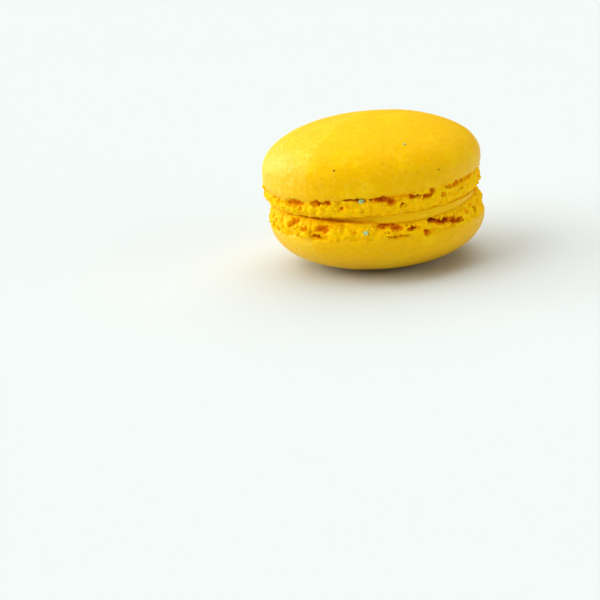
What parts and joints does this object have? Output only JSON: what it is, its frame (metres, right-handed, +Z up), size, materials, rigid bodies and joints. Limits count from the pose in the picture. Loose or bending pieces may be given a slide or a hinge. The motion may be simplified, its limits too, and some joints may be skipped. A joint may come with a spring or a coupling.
{
  "type": "french macaron",
  "caption": "Round french macaron in yellow: smooth domed almond-meringue caps on frilly feet, sandwiched round a thin layer of filling.",
  "frame": {"origin": "middle of the macaron's outline seen from above, on the surface it rests on; the flat spot of the lower cap is on z = 0", "axes": "+Z up through the sandwich, -Y the front, where the seam opens and the filling shows, +X to the right seen from the front"},
  "size_m": [0.0434, 0.043, 0.0288],
  "materials": {
    "shell": "matt baked almond meringue, bright yellow, with a crumbly foot",
    "filling": "smooth soft cream, a duller yellow, slightly moist"
  },
  "bodies": {
    "root": {"top_shell": "shell", "filling": "filling", "bottom_shell": "shell"}
  },
  "joints": []
}
